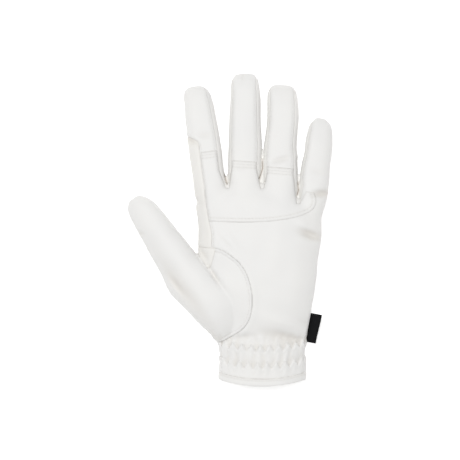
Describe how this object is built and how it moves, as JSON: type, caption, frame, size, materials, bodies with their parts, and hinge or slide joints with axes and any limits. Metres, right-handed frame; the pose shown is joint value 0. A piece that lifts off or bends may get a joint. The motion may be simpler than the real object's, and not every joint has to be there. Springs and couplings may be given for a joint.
{
  "type": "riding glove",
  "caption": "Left-hand riding glove of thin white synthetic leather, lying palm up, with a palm patch, finger side panels and a gathered elastic cuff.",
  "frame": {"origin": "on the floor, below the middle of the glove's bounding box", "axes": "+X from the thumb side to the little finger, +Y from the cuff to the fingertips, +Z out of the palm"},
  "size_m": [0.1542, 0.2336, 0.0291],
  "materials": {
    "white_leather": "matt, fine grain",
    "ivory_leather": "matt, fine grain",
    "white_stretch_fabric": "matt knit",
    "black_ribbon": "woven, matt"
  },
  "bodies": {
    "root": {"palm_panel": "white_leather", "back_panel": "white_stretch_fabric", "index_side_strip": "ivory_leather", "thumb_gusset": "ivory_leather", "thumb_front": "white_leather", "thumb_back": "white_stretch_fabric", "fourchette_index_middle": "white_leather", "fourchette_middle_ring": "white_leather", "fourchette_ring_little": "white_leather", "hem_band": "white_leather", "palm_patch": "white_leather", "side_label": "black_ribbon"}
  },
  "joints": []
}
